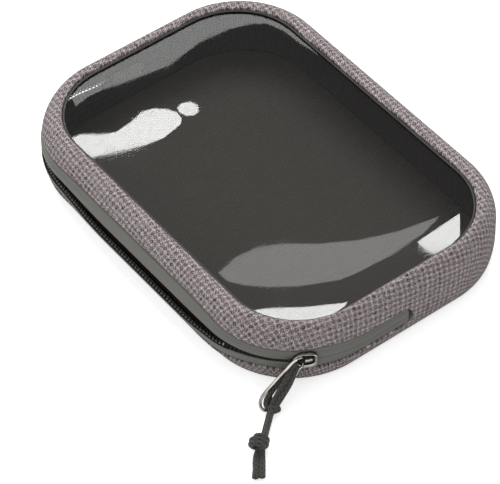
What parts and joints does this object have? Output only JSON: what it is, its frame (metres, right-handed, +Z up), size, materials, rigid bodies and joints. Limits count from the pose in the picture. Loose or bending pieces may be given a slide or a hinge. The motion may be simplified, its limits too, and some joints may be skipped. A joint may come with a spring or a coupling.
{
  "type": "waterproof pouch",
  "caption": "Flat rounded pouch of moulded fabric with a clear window in the top and a coated zip round the front and both front corners, with a corded pull.",
  "frame": {"origin": "on the surface that the pouch lies on, under the middle of its box, its cord left out", "axes": "+X along the length to the end where the slider is, +Y away from the zip's long side, +Z up through the window"},
  "size_m": [0.19, 0.1456, 0.0302],
  "materials": {
    "fabric": "heathered woven cover over foam",
    "film": "clear glossy film",
    "weld": "dark weld bead",
    "lining": "dark ribbed lining",
    "tape": "satin coated tape",
    "coil": "dark coil",
    "nickel": "polished nickel",
    "cord": "braided cord"
  },
  "bodies": {
    "pouch": {"shell": "fabric", "window": "film", "window_bead": "weld", "lining_wall": "lining", "lining_floor": "lining", "tape_upper": "tape", "tape_lower": "tape", "teeth_upper": "coil", "teeth_lower": "coil", "garage_right": "tape", "garage_left": "tape"},
    "slider": {"slider_body": "nickel"},
    "pull": {"pull_wire": "nickel", "cord_bight": "cord", "cord_middle_left": "cord", "cord_middle_right": "cord", "cord_tail_left": "cord", "cord_tail_right": "cord", "knot_upper": "cord", "knot_lower": "cord"}
  },
  "joints": [
    {"name": "slider_travel", "type": "hinge", "parent": "pouch", "child": "slider", "pos_m": [0.04908, -0.02365, 0.015], "axis": [0, 0, 1], "range_deg": [-58, 14], "deforming": ["teeth_upper", "teeth_lower", "tape_upper", "tape_lower"]},
    {"name": "pull_swing", "type": "hinge", "parent": "slider", "child": "pull", "pos_m": [0.08097, -0.04386, 0.015], "axis": [0, 0, 1], "range_deg": [-7, 110]}
  ]
}
